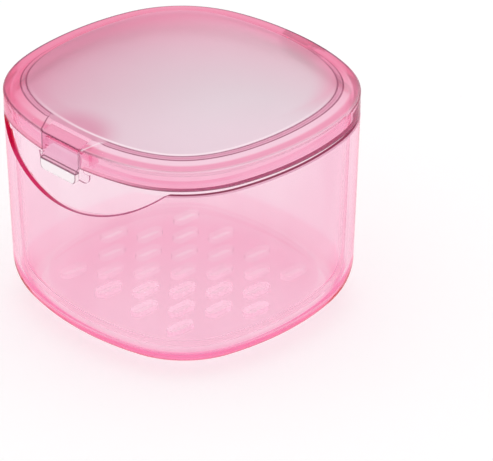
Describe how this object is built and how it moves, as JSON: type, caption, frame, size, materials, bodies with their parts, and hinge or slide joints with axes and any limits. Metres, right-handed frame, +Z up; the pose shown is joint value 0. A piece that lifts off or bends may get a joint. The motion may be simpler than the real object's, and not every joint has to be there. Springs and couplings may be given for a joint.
{
  "type": "denture case",
  "caption": "Rounded-square denture bath: an outer cup, a lift-out strainer basket, a lid hinged on the basket and a snap latch flap.",
  "frame": {"origin": "centre of the outer cup's underside, on the surface the case stands on", "axes": "+Z up, -Y towards the front with the latch, +Y towards the hinge"},
  "size_m": [0.095, 0.098, 0.0683],
  "materials": {
    "cup_plastic": "glossy, clear pink tint",
    "basket_plastic": "glossy, clear pink tint",
    "lid_plastic": "glossy, clear pink tint, with a frosted raised panel",
    "flap_plastic": "glossy, clear pink tint",
    "pin_steel": "plain drawn wire"
  },
  "bodies": {
    "cup": {"outer_cup": "cup_plastic"},
    "basket": {"strainer_basket": "basket_plastic", "hinge_pin": "pin_steel"},
    "lid": {"lid": "lid_plastic"},
    "latch": {"latch_flap": "flap_plastic"}
  },
  "joints": [
    {"name": "basket_lift", "type": "slide", "parent": "cup", "child": "basket", "axis": [0, 0, 1], "range_m": [0, 0.065]},
    {"name": "lid_hinge", "type": "hinge", "parent": "basket", "child": "lid", "pos_m": [0, 0.0485, 0.0616], "axis": [-1, 0, 0], "range_deg": [0, 110]},
    {"name": "latch_hinge", "type": "hinge", "parent": "lid", "child": "latch", "pos_m": [0, -0.0432, 0.06634], "axis": [-1, 0, 0], "range_deg": [0, 100]}
  ]
}
